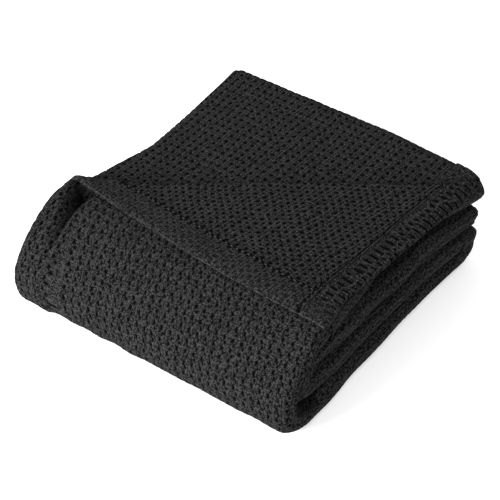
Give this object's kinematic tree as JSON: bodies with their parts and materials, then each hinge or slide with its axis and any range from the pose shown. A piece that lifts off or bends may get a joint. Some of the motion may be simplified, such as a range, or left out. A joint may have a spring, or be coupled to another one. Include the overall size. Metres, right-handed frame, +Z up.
{
  "type": "folded blanket",
  "caption": "Basket-weave cotton blanket with stitched hems, folded into a square stack with one corner turned back over the top.",
  "frame": {"origin": "on the surface that the folded blanket lies on, under the middle of its bounding box", "axes": "+Z up, -Y towards the rounded front where the top layer wraps down to the floor, +X towards the end where the six layers show as smooth round folds, -X towards the hemmed end"},
  "size_m": [0.398, 0.4296, 0.1324],
  "materials": {
    "cotton": "matte woven cotton, charcoal"
  },
  "bodies": {
    "root": {"blanket": "cotton"}
  },
  "joints": []
}
